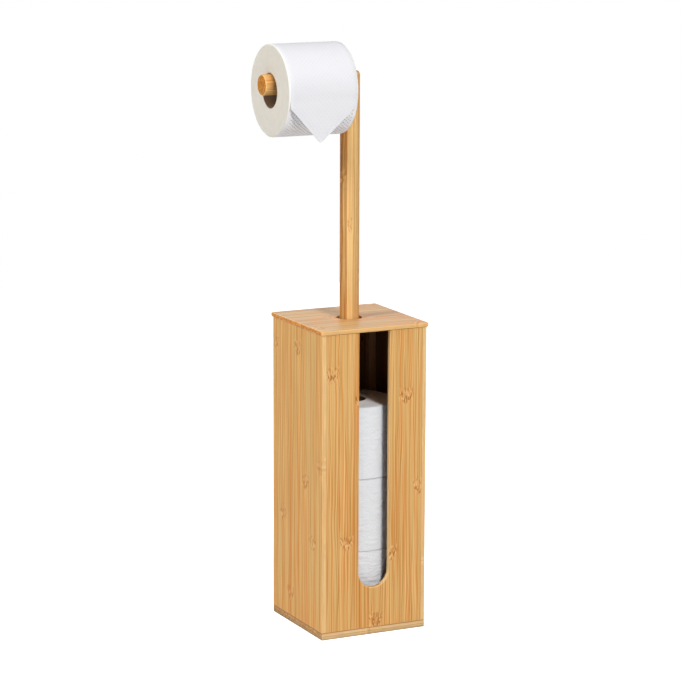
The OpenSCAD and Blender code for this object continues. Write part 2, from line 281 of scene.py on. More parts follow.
def bamboo(name, grain, across, pitch, seam_at, strips, seed, pale=PALE, deep=DEEP,
           contrast=1.0, spread=1.0, layers=(), gloss=0.5, shine=0.3, sawn=0.6,
           sawn_tone=CREAM, cut=(CUT, CUT_DEEP), shaded_inside=None, knots=1.0):
    """Laminated bamboo, its strips a list of (knuckle height, tone) from the first one on.

    grain and across name axes, pitch is a strip's width and seam_at the first strip's edge.
    contrast and knots weigh the fibres and the knuckles, and spread widens the fibres.
    layers lists (height, strength) of the seams between plies. sawn weighs the tone of the
    sawn sides, cut colours the ends, and the argument for the inside names the side that
    faces into the box, which gets painted shade.
    """
    made, place, facing = start(name, Specular_IOR_Level=shine)
    along, over = place["xyz".index(grain)], place["xyz".index(across)]
    depth = place[3 - "xyz".index(grain) - "xyz".index(across)]
    strip = (over - seam_at) / pitch
    index = strip.math("FLOOR", strip)
    knuckle = per_strip(index, [s[0] for s in strips], 1000.0)
    tone = per_strip(index, [s[1] for s in strips], 1.5)
    off = along.math("WRAP", along - knuckle, KNUCKLE_STEP / 2, -KNUCKLE_STEP / 2)
    beside = (strip - index - 0.5) * pitch
    shift = index * 5.17 + seed
    # The fibres wander a little, and more so at the knuckle
    near = 1.0 / (1.0 + abs(off / 12.0) ** 4.0)
    drift = noise(over * 0.05, along * 0.01, shift, 1.0)
    bend = noise(over * 0.3, along * 0.11, shift, 1.0)
    fibre_at = (over + (drift - 0.5) * 6.0 + (bend - 0.5) * near * 4.0) * (1 / spread)
    fibre, ply_at = fibre_at * FIBRE, depth * 0.2 + shift
    lines = noise(fibre, along * 0.003, ply_at, 3.0, 0.7)
    next_lines = noise(fibre + FLANK, along * 0.003, ply_at, 3.0, 0.7)
    fine = noise(fibre_at * 1.9, along * 0.008, depth * 0.8 + shift, 1.0)
    bands = noise(fibre_at * 0.14, along * 0.002, shift + 9.0, 1.0)
    hue = noise(fibre_at * 0.4, along * 0.004, ply_at + 14.0, 2.0)
    internode = (off.between(-4.0, 4.0) - 0.5) * 0.3 * knots / (1.0 + off * off * 0.0006)
    amount = (tone * 0.4 + ((lines - 0.5) * 1.3 + (lines - next_lines) * 1.9) * contrast
              + (fine - 0.5) * 1.5 * contrast + (bands - 0.5) * 0.5 * contrast + internode + 0.24)
    amount = amount.math("MINIMUM", amount.math("MAXIMUM", amount, 0.0), 1.0)
    wood = mix(amount, pale, deep)
    wood = mix(hue.between(0.5, 0.62) * 0.65 * contrast, wood, ORANGE)
    wood = mix((1.0 - hue.between(0.39, 0.5)) * 0.65 * contrast, wood, STRAW)
    # The knuckle's flecks lie dark and pale side by side
    within, dark, light = knuckle_marks(beside, off, pitch, shift)
    wood = mix(within * 0.5 * knots, wood, ORANGE)
    wood = mix(light * 0.75 * knots, wood, CREAM)
    wood = mix(dark * 0.8 * knots, wood, FLECK)
    # Glue seams between the strips
    gap = strip.math("PINGPONG", strip, 0.5) * pitch
    fade = noise(over * 0.2, along * 0.02, shift + 4.0, 1.0) * 0.7 + 0.45
    glue = (1.0 - gap.between(0.12, 0.4)) * fade
    for at, strength in layers:
        ply = (1.0 - abs(depth - at).between(0.3, 0.8)) * strength
        glue = glue.math("MAXIMUM", glue, ply)
    # Sawn edges are paler, a painted highlight lies on the eased rims round cut ends, and cut
    # ends show the fibres as dots
    edge = abs(facing["xyz".index(across)])
    wood = mix(edge.between(0.35, 0.8) * sawn, wood, sawn_tone)
    end = abs(facing["xyz".index(grain)])
    # Painted highlight: where the facing turns from the side to the end, the rim is paler
    wood = mix(end.between(0.12, 0.4) * 0.5, wood, CREAM)
    end = end.between(0.75, 0.95)
    ends, pores = cut_fibres(over, depth, index, shift, cut)
    wood = mix(end, wood, ends)
    wood = mix(glue * 0.4, wood, SEAM)
    # The plied base board greys towards the floor, partly its darker bottom ply and partly
    # painted shade where it meets the floor, and the box's inner faces get painted shade
    if layers:
        wood = mix((1.0 - depth.between(0.5, 5.0)) * 0.5, wood, FLOOR_SHADE)
    # Painted shade: the faces inside the box are darkened nearly to a warm black
    if shaded_inside:
        inner = facing["xyz".index(shaded_inside[1])] * (1.0 if shaded_inside[0] == "+" else -1.0)
        wood = mix(inner.between(0.6, 0.9) * 0.85, wood, INSIDE_SHADE)
    wood.feed("Base Color")
    (lines * 0.1 + fine * 0.05 + end * 0.15 + gloss - 0.07).feed("Roughness")
    bump(lines * 0.5 + fine * 0.35 - glue * 0.9 - dark * 0.35 - pores * end * 0.6, 0.12)
    return made


print("bamboo's tones:", [round(v, 2) for v in PALE[:3]], [round(v, 2) for v in DEEP[:3]])

# %% [markdown]
# Each board now gets its own strips. A board's are 21 to 22.5 mm wide and the round bars'
# are 7.5 mm, and the first one starts just outside the piece. The lid's wood is greyer and
# its fibres are broader, and the bars' lacquer is duller than the lid's.

# %% The boards' strips
WALL_CUT = (rgb("dcae72"), rgb("c08a4c"))
FRONT_STRIP, SIDE_STRIP, FLAT_STRIP, BAR_STRIP = 21.25, 22.5, 21.0, 7.5
FRONT_SEAM, SIDE_SEAM, LID_SEAM, BASE_SEAM = -71.25, -80.5, -83.0, -80.0


def any_strips(count, seed):
    """Strips for a board that the photograph doesn't show, from a seeded draw."""
    draw = random.Random(seed)
    return [(draw.uniform(0, KNUCKLE_STEP), draw.uniform(0.1, 0.9)) for _ in range(count)]


front_strips = [(351, 0.4), (126, 0.25), (312, 0.75), (19, 0.4), (107, 0.65), (315, 0.5),
                (192.5, 0.3)]
front_wood = bamboo("front_bamboo", "z", "x", FRONT_STRIP, FRONT_SEAM, front_strips, 3.0,
                    cut=WALL_CUT, shaded_inside="+y", knots=0.85)
back_wood = bamboo("back_bamboo", "z", "x", FRONT_STRIP, FRONT_SEAM, any_strips(7, 5), 11.0,
                   cut=WALL_CUT, shaded_inside="-y")
left_strips = [(230, 0.4), (124, 0.45), (202, 0.6), (375, 0.45), (40, 0.6), (144, 0.5),
               (372, 0.55)]
left_wood = bamboo("left_bamboo", "z", "y", SIDE_STRIP, SIDE_SEAM, left_strips, 21.0,
                   pale=rgb("f9c578"), deep=rgb("c07e2a"), contrast=1.3, cut=WALL_CUT,
                   shaded_inside="+x", knots=0.6)
right_wood = bamboo("right_bamboo", "z", "y", SIDE_STRIP, SIDE_SEAM, any_strips(7, 8), 31.0,
                    contrast=0.9, cut=WALL_CUT, shaded_inside="-x")
lid_strips = [(65, -0.05), (329, 0.15), (150, 0.25), (20, 0.6), (379, 0.55), (105, 0.7),
              (200, 0.75), (60, 0.9)]
lid_wood = bamboo("lid_bamboo", "x", "y", FLAT_STRIP, LID_SEAM, lid_strips, 41.0,
                  pale=rgb("e2b982"), deep=rgb("a8825a"), spread=2.4, gloss=0.42, shine=0.6,
                  sawn=0.75, sawn_tone=rgb("eeba72"), cut=(rgb("f0a03e"), rgb("c27424")))
base_wood = bamboo("base_bamboo", "x", "y", FLAT_STRIP, BASE_SEAM, any_strips(8, 15), 51.0,
                   pale=rgb("e6c89e"), deep=rgb("b88c52"), contrast=0.7,
                   layers=[(9.2, 1.7), (4.8, 1.0)], sawn=0.45,
                   cut=(rgb("d8ac78"), rgb("b48654")))
# Painted shade: the post's outermost strips are dark for the shaded left and right of the round
# post, and its pale tone is brighter to make up for the shade below the roll
post_strips_and_shade = [(196, 1.5), (133, -0.5), (312, 0.4), (71, 0.7)]
post_wood = bamboo("post_bamboo", "z", "x", BAR_STRIP, -16.0, post_strips_and_shade, 61.0,
                   pale=rgb("ffd692"), deep=rgb("a5611e"), contrast=0.4, shine=0.12,
                   sawn=0.0, knots=0.4)
arm_strips = [(78, 0.6), (287, 0.3), (138, 0.7), (327, 0.4)]
arm_wood = bamboo("arm_bamboo", "x", "z", BAR_STRIP, arm_z - 15.0, arm_strips, 71.0,
                  contrast=0.7, shine=0.12, sawn=0.0, cut=(rgb("dc9644"), rgb("b87428")),
                  knots=0.4)
print("bamboo finishes:", len([m for m in bpy.data.materials if "bamboo" in m.name]))

# %% [markdown]
# The hidden battens, the socket and the cleats are plain sawn beech: short rays and fine
# pores along the grain, with no lacquer. Two noises stretched along the grain are enough.
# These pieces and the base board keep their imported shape, so they only change finish.

# %% The plain wood of hidden parts
def refinish(names, finish):
    """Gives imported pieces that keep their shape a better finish."""
    for name in names:
        nodes[name].material_slots[0].material = finish
    print(finish.name, "on", ", ".join(names))


def plain_wood(name, grain):
    """Sawn beech without lacquer, its grain along an axis."""
    made, place, facing = start(name, Roughness=0.6)
    along, one, other = (place["xyz".index(a)] for a in grain + "xyz".replace(grain, ""))
    rings = noise(one * 0.35, along * 0.01, other * 0.35, 2.0)
    rays = noise(one * 2.4, along * 0.16, other * 2.4, 1.0).between(0.55, 0.75)
    wood = mix(rings, rgb("c79c6c"), rgb("a97c4c"))
    mix(rays * 0.4, wood, rgb("9c7044")).feed("Base Color")
    bump(rings * 0.5 - rays * 0.5, 0.06)
    return made


upright_beech, cleat_beech = plain_wood("beech_upright", "z"), plain_wood("beech_cleat", "y")
refinish([f"corner_batten_{i}" for i in (1, 2, 3, 4)] + ["post_socket"], upright_beech)
refinish(["lid_cleat_left", "lid_cleat_right"], cleat_beech)
refinish(["base_plate"], base_wood)

# %% [markdown]
# The screws and the bolt are zinc plated steel, and the insert is turned brass. Metal shows
# its small unevenness in its gloss, so fine noise moves the roughness and tints the colour.

# %% Metal
def metal(name, light, dark):
    """Bare metal between a light and a dark tone."""
    made, place, facing = start(name, Metallic=1.0)
    haze = noise(place[0] * 0.9, place[1] * 0.9, place[2] * 0.9, 3.0)
    turning = noise(place[0] * 0.4, place[1] * 0.4, place[2] * 5.0, 1.0)
    mix(haze, light, dark).feed("Base Color")
    (haze * 0.2 + turning * 0.1 + 0.2).feed("Roughness")
    bump(turning, 0.01)
    return made


zinc = metal("zinc_plated_steel", rgb("d4d6d8"), rgb("a9acb0"))
brass = metal("turned_brass", rgb("d9b565"), rgb("b48a3c"))
refinish(["base_screws", "socket_screws", "cleat_screws", "arm_bolt"], zinc)
refinish(["arm_insert"], brass)

# %% [markdown]
# ## Paper
# Toilet paper is a soft bluish white with small embossed dots in slanting rows. A roll's
# ends show the edges of hundreds of sheets, which look greyer and mottled, with fine rings.
# The dots are set out on the unrolled sheet, so the finish turns a place on the roll into
# how far round and how far along it lies, and they stop short of the roll's ends. They are
# too small for the mesh, so they are bump with painted shade in them, while the roll's form
# comes later from its mesh.
# The spare rolls' dots hardly show, but their outer sheet is creased.

# %% The tissue and card finishes
DOT_STEP, DOTS_FADE, DOTS_END = 5.6, 6.0, 3.5
CARD_STRIP = 62.0


def round_axis(place, axis, centre):
    """How far along an axis a place lies, and its two distances from a centre across it."""
    one, other = (place["xyz".index(a)] - c for a, c in zip("xyz".replace(axis, ""), centre))
    return place["xyz".index(axis)], one, other


def tissue(name, axis, centre, start_at, paper, dot_shade, dots,
           cut_ends=(rgb("f7f2e7"), rgb("dfd8cb")), crumpled=0.0):
    """Embossed paper wound round an axis.

    Rolls start at start_at along it. The colour given for the dots is painted shade in them,
    dots says how deep they are and crumpled how deep the creases are. cut_ends are the
    colours of the roll's ends.
    """
    made, place, facing = start(name, Roughness=0.92, Specular_IOR_Level=0.15)
    along, one, other = round_axis(place, axis, centre)
    radius = one.math("SQRT", one * one + other * other)
    turned = one.math("ARCTAN2", one, other) * roll_r
    step = 2 * math.pi / DOT_STEP
    rows = one.math("COSINE", turned * step) * one.math("COSINE", along * step)
    pillow = noise(turned * 0.9, along * 0.9, radius * 0.02, 2.0)
    crumple = noise(turned * 0.07 + along * 0.03, along * 0.2, radius * 0.02, 2.0)
    from_middle = along.math("WRAP", along - start_at, roll_l, 0.0) - roll_l / 2
    rim = abs(from_middle).between(roll_l / 2 - DOTS_FADE, roll_l / 2 - DOTS_END)
    dot = rows.between(0.25, 0.95) * (1.0 - rim)
    end = abs(facing["xyz".index(axis)]).between(0.5, 0.8)
    rings = noise(radius * 3.2, turned * 0.004, along * 0.02, 2.0)
    mottle = noise(one * 0.12, other * 0.12, along * 0.12, 3.0)
    # Painted shade in the embossed dots
    side = mix(dot * 0.85, paper, dot_shade)
    ends = mix(rings * 0.6 + mottle * 0.4, *cut_ends)
    mix(end, side, ends).feed("Base Color")
    bump((dot * dots + pillow * 0.4 + crumple * crumpled) * (1.0 - end)
         + (rings * 0.3 + mottle * 0.4) * end, 0.5)
    return made


def card(name, axis, centre):
    """Grey-brown wound card with its spiral seam."""
    made, place, facing = start(name, Roughness=0.85, Specular_IOR_Level=0.3)
    along, one, other = round_axis(place, axis, centre)
    turned = one.math("ARCTAN2", one, other) * (1 / (2 * math.pi))
    wound = turned.math("PINGPONG", along / CARD_STRIP + turned, 0.5) * CARD_STRIP
    seam = 1.0 - wound.between(0.25, 0.9)
    fibre = noise(one * 0.8, other * 0.8, along * 0.8, 4.0, 0.65)
    board = mix(fibre, rgb("937c62"), rgb("6f5842"))
    mix(seam * 0.5, board, rgb("5f4a36")).feed("Base Color")
    bump(fibre * 0.5 - seam * 0.6, 0.1)
    return made


arm_axis, post_axis = (0.0, roll_z), (0.0, 0.0)
# The roll's paper and the spare rolls' are whiter than the sheet's, though all are one paper:
# painted light that lifts the roll's shaded underside and the rolls in the slot, while the sheet
# on the lit top is greyer
roll_tissue = tissue("roll_tissue", "x", arm_axis, roll_low.x,
                     paper=rgb("f8f7f9"), dot_shade=rgb("b2b2b8"), dots=1.2)
sheet_tissue = tissue("sheet_tissue", "x", arm_axis, roll_low.x,
                      paper=rgb("eaeaed"), dot_shade=rgb("e5e5e9"), dots=0.2)
spare_tissue = tissue("spare_tissue", "z", post_axis, span("spare_paper_1")[0].z,
                      paper=rgb("f4f7fb"), dot_shade=rgb("eff2f7"), dots=0.12,
                      cut_ends=(rgb("fcfcfe"), rgb("eeedf0")), crumpled=3.5)
roll_card, spare_card = card("roll_card", "x", arm_axis), card("spare_card", "z", post_axis)
print("paper finishes:", roll_tissue.name, sheet_tissue.name, spare_tissue.name,
      roll_card.name, spare_card.name)

# %% [markdown]
# ## Making a piece
# Nearly every piece here is a loft: a row of closed outlines joined by faces, like the
# stations of a hull. One helper joins them, another turns points and faces into a finished
# piece that has its material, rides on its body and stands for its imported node. Weighted
# normals keep a broad face flat to the eye while its eased edges stay round.

# %% Lofts and pieces
def loft(rings, around=False):
    """Points and faces of closed outlines joined in a row, with ends or back to the first."""
    count = len(rings[0])
    points = [p for ring in rings for p in ring]
    faces = []
    for i in range(len(rings) if around else len(rings) - 1):
        a, b = i * count, (i + 1) % len(rings) * count
        faces += [(a + j, a + (j + 1) % count, b + (j + 1) % count, b + j) for j in range(count)]
    if not around:
        faces += [tuple(range(count)), tuple(range(len(points) - count, len(points)))]
    return points, faces


def new_object(name, data):
    """An object in the scene for a mesh, a lamp or a camera."""
    made = bpy.data.objects.new(name, data)
    bpy.context.scene.collection.objects.link(made)
    return made


def solid(name, points, faces, crease=50.0):
    """A mesh object in metres from points in millimetres, facing outwards."""
    mesh = bpy.data.meshes.new(name)
    mesh.from_pydata([Vector(p) * MM for p in points], [], faces)
    shape = bmesh.new()
    shape.from_mesh(mesh)
    bmesh.ops.recalc_face_normals(shape, faces=shape.faces)
    shape.to_mesh(mesh)
    shape.free()
    mesh.shade_smooth()
    mesh.set_sharp_from_angle(angle=math.radians(crease))
    return new_object(name, mesh)


def piece(made, body, finish, node, weighted=False):
    """Gives a mesh its finish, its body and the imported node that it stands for."""
    made.data.materials.clear()
    made.data.materials.append(finish)
    if weighted:
        made.modifiers.new("even shading", "WEIGHTED_NORMAL").keep_sharp = True
    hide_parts(node)
    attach(made, body)
    print(made.name, len(made.data.vertices), "points")
    return made


# %% [markdown]
# ## Boards with eased edges
# A sawn board has its edges rounded with sandpaper. A bevel modifier would round all its
# edges alike, but here the slot's edge is rounded far more than the joints with the
# neighbouring boards, so each side of the outline has an ease of its own: the outline is
# drawn in by that much on the face and comes out to full size over a quarter circle.

# %% The board maker
EASE_STEPS, BACK_EASE, PARALLEL = 4, 0.3, 1e-3


def evenly(start_at, length, count):
    """Values spread evenly over a length, both ends included."""
    return [start_at + length * i / count for i in range(count + 1)]


QUARTER = evenly(0, math.pi / 2, EASE_STEPS)


def drawn_in(outline, eases, share):
    """The outline moved inwards, each side by its own ease times a share."""
    moved = []
    for i, point in enumerate(outline):
        before, after = outline[i - 1], outline[(i + 1) % len(outline)]
        d0, d1 = (point - before).normalized(), (after - point).normalized()
        n0, n1 = Vector((-d0.y, d0.x)), Vector((-d1.y, d1.x))
        a, b = eases[i - 1] * share, eases[i] * share
        det = n0.x * n1.y - n0.y * n1.x
        if abs(det) < PARALLEL:
            moved.append(point + (n0 + n1).normalized() * (a + b) / 2)
        else:
            moved.append(point + Vector((a * n1.y - b * n0.y, n0.x * b - n1.x * a)) / det)
    return moved


def board(outline, eases, thick, put):
    """Lofts a board from its outer face inwards; put turns (u, v, depth) into a point."""
    outline = [Vector(p) for p in outline]
    rings = []
    for turn in QUARTER:
        moved = drawn_in(outline, eases, 1 - math.sin(turn))
        deep = [max(eases[i - 1], eases[i]) * (1 - math.cos(turn)) for i in range(len(outline))]
        rings.append([put(p.x, p.y, d) for p, d in zip(moved, deep)])
    for turn in QUARTER:
        moved = drawn_in(outline, [BACK_EASE] * len(outline), 1 - math.cos(turn))
        rings.append([put(p.x, p.y, thick - BACK_EASE * (1 - math.sin(turn))) for p in moved])
    return loft(rings)


def arc(cx, cy, r, start_deg, end_deg, steps):
    """Points on an arc, both ends included."""
    turns = [math.radians(a) for a in evenly(start_deg, end_deg - start_deg, steps)]
    return [(cx + r * math.cos(t), cy + r * math.sin(t)) for t in turns]


# %% [markdown]
# ## The box walls
# The front wall sits between the side walls and has a tall slot with a round bottom. Its
# outline is walked anticlockwise, down one side of the slot, round its bottom and up again.
# The slot's sides get the wide ease that catches the light as a pale line. The side walls
# cover the whole depth, so their sawn edges show as narrow strips on the front.

# %% Front, back and side walls
SLOT_STEPS = 48
z0, z1 = front_low.z, front_high.z
x0, x1 = front_low.x, front_high.x
slot_arc = arc(0, slot_bottom + slot_r, slot_r, 0, -180, SLOT_STEPS)
front_line = [(x0, z0), (x1, z0), (x1, z1), (slot_r, z1)] + slot_arc + [(-slot_r, z1), (x0, z1)]
front_eases = [seam_ease] * 3 + [slot_ease] * (len(slot_arc) + 1) + [seam_ease] * 2
front = solid("front_wall", *board(front_line, front_eases, panel_t,
                                   lambda u, v, w: (u, front_low.y + w, v)))
piece(front, "box", front_wood, "front_panel", weighted=True)
back_line = [(x0, z0), (x1, z0), (x1, z1), (x0, z1)]
back = solid("back_wall", *board(back_line, [seam_ease] * 4, panel_t,
                                 lambda u, v, w: (u, -front_low.y - w, v)))
piece(back, "box", back_wood, "back_panel", weighted=True)
y0, y1 = side_low.y, side_high.y
for side, name, finish in ((-1, "left", left_wood), (1, "right", right_wood)):
    wall = solid(name + "_wall", *board(
        [(y0, z0), (y1, z0), (y1, z1), (y0, z1)], [seam_ease, board_ease] * 2, panel_t,
        lambda u, v, w: (side * (box_w / 2 - w), u, v)))
    piece(wall, "box", finish, name + "_panel", weighted=True)

# %% [markdown]
# ## The lid
# The lid is a square board with softly rounded edges and an oversize hole for the post. It
# could be cut with a boolean, but a loft that runs over the top, down the outside, back
# under the board and up through the hole has cleaner faces, and both rims are round.

# %% Lid
def rounded_square(half, r, steps=6, between=14):
    """Points round a square with round corners, the same number at any size."""
    line = []
    for quarter in range(4):
        cx, cy = [(1, 1), (-1, 1), (-1, -1), (1, -1)][quarter]
        line += arc(cx * (half - r), cy * (half - r), r, quarter * 90, quarter * 90 + 90, steps)
        nx, ny = [(-1, 1), (-1, -1), (1, -1), (1, 1)][quarter]
        end, to = line[-1], arc(nx * (half - r), ny * (half - r), r, quarter * 90 + 90, 180, 1)[0]
        line += list(zip(*(evenly(a, b - a, between) for a, b in zip(end, to))))[1:-1]
    return line


def eased(edge_z, into, ease, outline, from_side=False):
    """Rings over one eased edge of the lid; outline turns an inset into a ring of (x, y).

    into is 1 for an edge of the underside and -1 for one of the top. The rings lead from
    the flat face to the side, or with from_side from the side to the flat face.
    """
    rings = []
    for turn in QUARTER:
        inset, deep = ease * (1 - math.sin(turn)), ease * (1 - math.cos(turn))
        if from_side:
            inset, deep = deep, inset
        rings.append([(x, y, edge_z + into * deep) for x, y in outline(inset)])
    return rings


half, hole_ease = lid_size.x / 2, 0.6
plan = rounded_square(half, lid_ease)
turns = [math.atan2(y, x) for x, y in plan]
outside = lambda inset: [(x * (half - inset) / half, y * (half - inset) / half) for x, y in plan]
hole = lambda inset: [((lid_hole_r + inset) * math.cos(a), (lid_hole_r + inset) * math.sin(a))
                      for a in turns]
lid_rings = (eased(lid_high.z, -1, lid_ease, outside)
             + eased(lid_low.z, 1, lid_ease, outside, from_side=True)
             + eased(lid_low.z, 1, hole_ease, hole)
             + eased(lid_high.z, -1, hole_ease, hole, from_side=True))
lid = solid("lid_board", *loft(lid_rings, around=True))
piece(lid, "lid", lid_wood, "lid", weighted=True)

# %% [markdown]
# ## Post and arm
# Both are turned from laminated bar, so each is a lathe shape: a half outline swept round
# its axis. The post's top is well rounded, and its foot is chamfered to find the socket. A
# countersunk bolt runs through the post into the arm, and the arm's inner end is hollowed
# to sit round the post. Those cuts cross the round faces, which is what a boolean is for:
# it is applied at once, so that no cutter is left in the scene.

# %% Lathe and cuts
BAR_STEPS, END_STEPS, CUT_CREASE = 96, 8, 35


def turned_bar(profile, put):
    """Lofts (radius, height) pairs round an axis; put turns (across, up, height) into a point."""
    angles = [2 * math.pi * i / BAR_STEPS for i in range(BAR_STEPS)]
    return loft([[put(r * math.cos(a), r * math.sin(a), h) for a in angles] for r, h in profile])


def cut(body, cutters):
    """Cuts meshes out of a body for good and sharpens the new edges."""
    for cutter in cutters:
        step = body.modifiers.new("cut", "BOOLEAN")
        step.operation, step.solver, step.object = "DIFFERENCE", "EXACT", cutter
        ready = body.evaluated_get(bpy.context.evaluated_depsgraph_get())
        mesh = bpy.data.meshes.new_from_object(ready)
        body.modifiers.clear()
        body.data = mesh
        bpy.data.objects.remove(cutter)
    body.data.shade_smooth()
    body.data.set_sharp_from_angle(angle=math.radians(CUT_CREASE))


def rounded_end(r, h, ease):
    """Profile points that round a bar over its end at height h."""
    return [(r - ease * (1 - math.cos(a)), h - ease * (1 - math.sin(a)))
            for a in evenly(0, math.pi / 2, END_STEPS)]


post_round, foot, arm_round = 5.0, 1.5, 2.0
upright = lambda u, v, h: (u, v, h)
lying = lambda u, v, h: (-h, u, arm_z + v)
post = solid("turned_post", *turned_bar(
    [(post_r - foot, post_low.z), (post_r - foot * 0.2, post_low.z + foot * 0.8),
     (post_r, post_low.z + foot)]
    + [(post_r, h) for h in evenly(post_low.z + 20, post_high.z - post_low.z - 40, 12)]
    + rounded_end(post_r, post_high.z, post_round), upright))
arm_start, arm_end = -arm_high.x, -arm_low.x
arm = solid("turned_arm", *turned_bar(
    [(arm_r, arm_start - 3)]
    + [(arm_r, h) for h in evenly(arm_start + 6, arm_end - arm_start - 16, 8)]
    + rounded_end(arm_r, arm_end, arm_round), lying))

# %% [markdown]
# The cutters are bars too. The bolt's way through the post starts with a wide countersink
# for its head. The arm is hollowed by a copy of the post, and has a wide seat for the insert
# and a narrower bore for the bolt's tip. Countersink and seat are a hair larger than what
# sits in them, so that no two faces lie on each other.

# %% Bolt hole, saddle and seat
HAIR = 0.05
bolt_hole_r, insert_r, countersink_r, sink_depth = 3.3, 4.55, 5.55, 2.5
insert_end, bolt_end = -span("arm_insert")[0].x, -span("arm_bolt")[0].x
sink_x = math.sqrt(post_r ** 2 - (countersink_r - HAIR) ** 2) - HAIR
way = solid("way", *turned_bar([(countersink_r, -post_r * 2), (countersink_r, -sink_x),
                                (bolt_hole_r, sink_depth - sink_x),
                                (bolt_hole_r, post_r * 2)], lying))
cut(post, [way])
piece(post, "post_and_arm", post_wood, "post")
saddle = solid("saddle", *turned_bar([(post_r, arm_z - 30), (post_r, arm_z + 30)], upright))
seat = solid("seat", *turned_bar([(insert_r, 0), (insert_r, insert_end + HAIR)], lying))
bore = solid("bore", *turned_bar([(bolt_hole_r, insert_end - 1), (bolt_hole_r, 1 + bolt_end)],
                                 lying))
cut(arm, [saddle, seat, bore])
piece(arm, "post_and_arm", arm_wood, "arm")

# %% [markdown]
# ## Rolls
# A roll is a tube of wound paper with soft rims. A perfect tube looks like plastic: real
# paper is a little out of round, its end shows ridges where layers stand proud, and its last
# layer ends in a step. So the loft's radius and ends wander by a few tenths of a
# millimetre, always inwards, which keeps the roll inside its packed size.

# %% Wound paper
def wander(seed, waves):
    """A smooth periodic function of an angle, from 0 to 1."""
    draw = random.Random(seed)
    terms = [(n, draw.uniform(0.3, 1.0) / n, draw.uniform(0, 2 * math.pi)) for n in waves]
    top = sum(size for _, size, _ in terms)
    return lambda angle: 0.5 + 0.5 * sum(s * math.sin(n * angle + p) for n, s, p in terms) / top


RIDGES, RIM_STEPS, INNER_EASE = 22, 6, 0.4
LUMP, END_LUMP, RIDGE_HEIGHT = 0.35, 0.35, 0.15


def roll_profile(r_in, rows):
    """The closed outline of a roll's section, from its hole over both ends back to it."""
    end = evenly(r_in + INNER_EASE, roll_r - roll_rim - r_in - INNER_EASE, RIDGES)
    rim = evenly(0, math.pi / 2, RIM_STEPS)[1:]
    profile = ([(r_in, roll_l - INNER_EASE)] + [(r, roll_l) for r in end]
               + [(roll_r - roll_rim + roll_rim * math.sin(a),
                   roll_l - roll_rim + roll_rim * math.cos(a)) for a in rim])
    side = evenly(roll_rim, roll_l - 2 * roll_rim, rows)[-2:0:-1]
    return (profile + [(roll_r, h) for h in side]
            + [(r, roll_l - h) for r, h in reversed(profile)])


def wound_roll(seed, step_at, put, around=192, rows=26):
    """A standing tube of paper, its last layer ending at an angle; put places its points."""
    draw = random.Random(seed)
    r_in, r_out = core_r + HAIR, roll_r
    outline = roll_profile(r_in, rows)
    lumps = [wander(draw.random(), (1, 2, 3, 5)) for _ in range(4)]
    end_lumps = [wander(draw.random(), (1, 2, 3)) for _ in range(2)]
    ridge = {round(r, 3): draw.uniform(0, RIDGE_HEIGHT) for r, h in outline}
    rings = []
    for r, h in outline:
        ring = []
        share = max(0.0, (r - r_in) / (r_out - r_in))
        at_top, at_end = h > roll_l / 2, h <= roll_rim or h >= roll_l - roll_rim
        place = h / roll_l * 3
        k = min(2, int(place))
        for j in range(around):
            angle = 2 * math.pi * j / around
            lump = lumps[k](angle) * (1 - place + k) + lumps[k + 1](angle) * (place - k)
            layer = sheet_t * (((angle - step_at) / (2 * math.pi)) % 1.0)
            far = r - share * (LUMP * lump + layer)
            drop = 0.0
            if at_end:
                waves = 0.5 + 0.5 * math.sin(3 * angle + r)
                drop = ridge[round(r, 3)] * waves * min(1.0, share * 6)
                drop += END_LUMP * end_lumps[at_top](angle) * (1 - abs(2 * share - 1))
                drop = drop if at_top else -drop
            ring.append(put(far * math.cos(angle), far * math.sin(angle), h - drop))
        rings.append(ring)
    return loft(rings, around=True)


CARD_WALL = 1.0


def card_tube(seed, put, around=96):
    """The card core, its cut ends a little uneven."""
    ends = [wander(seed, (1, 3, 7, 11)), wander(seed + 1, (2, 3, 8))]
    rings = []
    for r, h in ((core_r - CARD_WALL, 0.0), (core_r - CARD_WALL, roll_l),
                 (core_r - CARD_WALL * 0.7, roll_l + 0.1), (core_r, roll_l - 0.1),
                 (core_r, 0.0)):
        top = h > roll_l / 2
        ring = []
        for j in range(around):
            angle = 2 * math.pi * j / around
            shy = 0.15 + 0.45 * ends[top](angle)
            ring.append(put(r * math.cos(angle), r * math.sin(angle), h + (-shy if top else shy)))
        rings.append(ring)
    return loft(rings, around=True)


# %% The roll in use and the spare rolls
on_arm = lambda u, v, h: (roll_low.x + h, -u, roll_z + v)
roll = solid("wound_roll", *wound_roll(101, 0.0, on_arm, around=288, rows=40), crease=60)
piece(roll, "roll", roll_tissue, "roll_paper")
tube = solid("roll_tube", *card_tube(111, on_arm), crease=40)
piece(tube, "roll", roll_card, "roll_core")
for i in (1, 2, 3):
    bottom = span(f"spare_paper_{i}")[0].z
    standing = lambda u, v, h: (u, v, bottom + h)
    spare = solid(f"spare_roll_{i}_paper", *wound_roll(200 + i, 0.7 + i, standing), crease=60)
    piece(spare, f"spare_roll_{i}", spare_tissue, f"spare_paper_{i}")
    tube = solid(f"spare_roll_{i}_tube", *card_tube(300 + i, standing), crease=40)
    piece(tube, f"spare_roll_{i}", spare_card, f"spare_core_{i}")

# %% [markdown]
# ## The folded last sheet
# The last sheet lies over the front of the roll, leaves it where it hangs straight, and has
# its two corners folded behind to make a point. It isn't cloth hanging in folds but a crisp
# sheet, so it is built as the hand folds it: a front layer down to the point, and one flap
# on each side behind it, joined by a round fold. The sheet swings clear of the roll within
# 16 mm below its middle and is a little wavy. Each layer has real thickness, and the top
# dips under the paper so that no edge shows there.

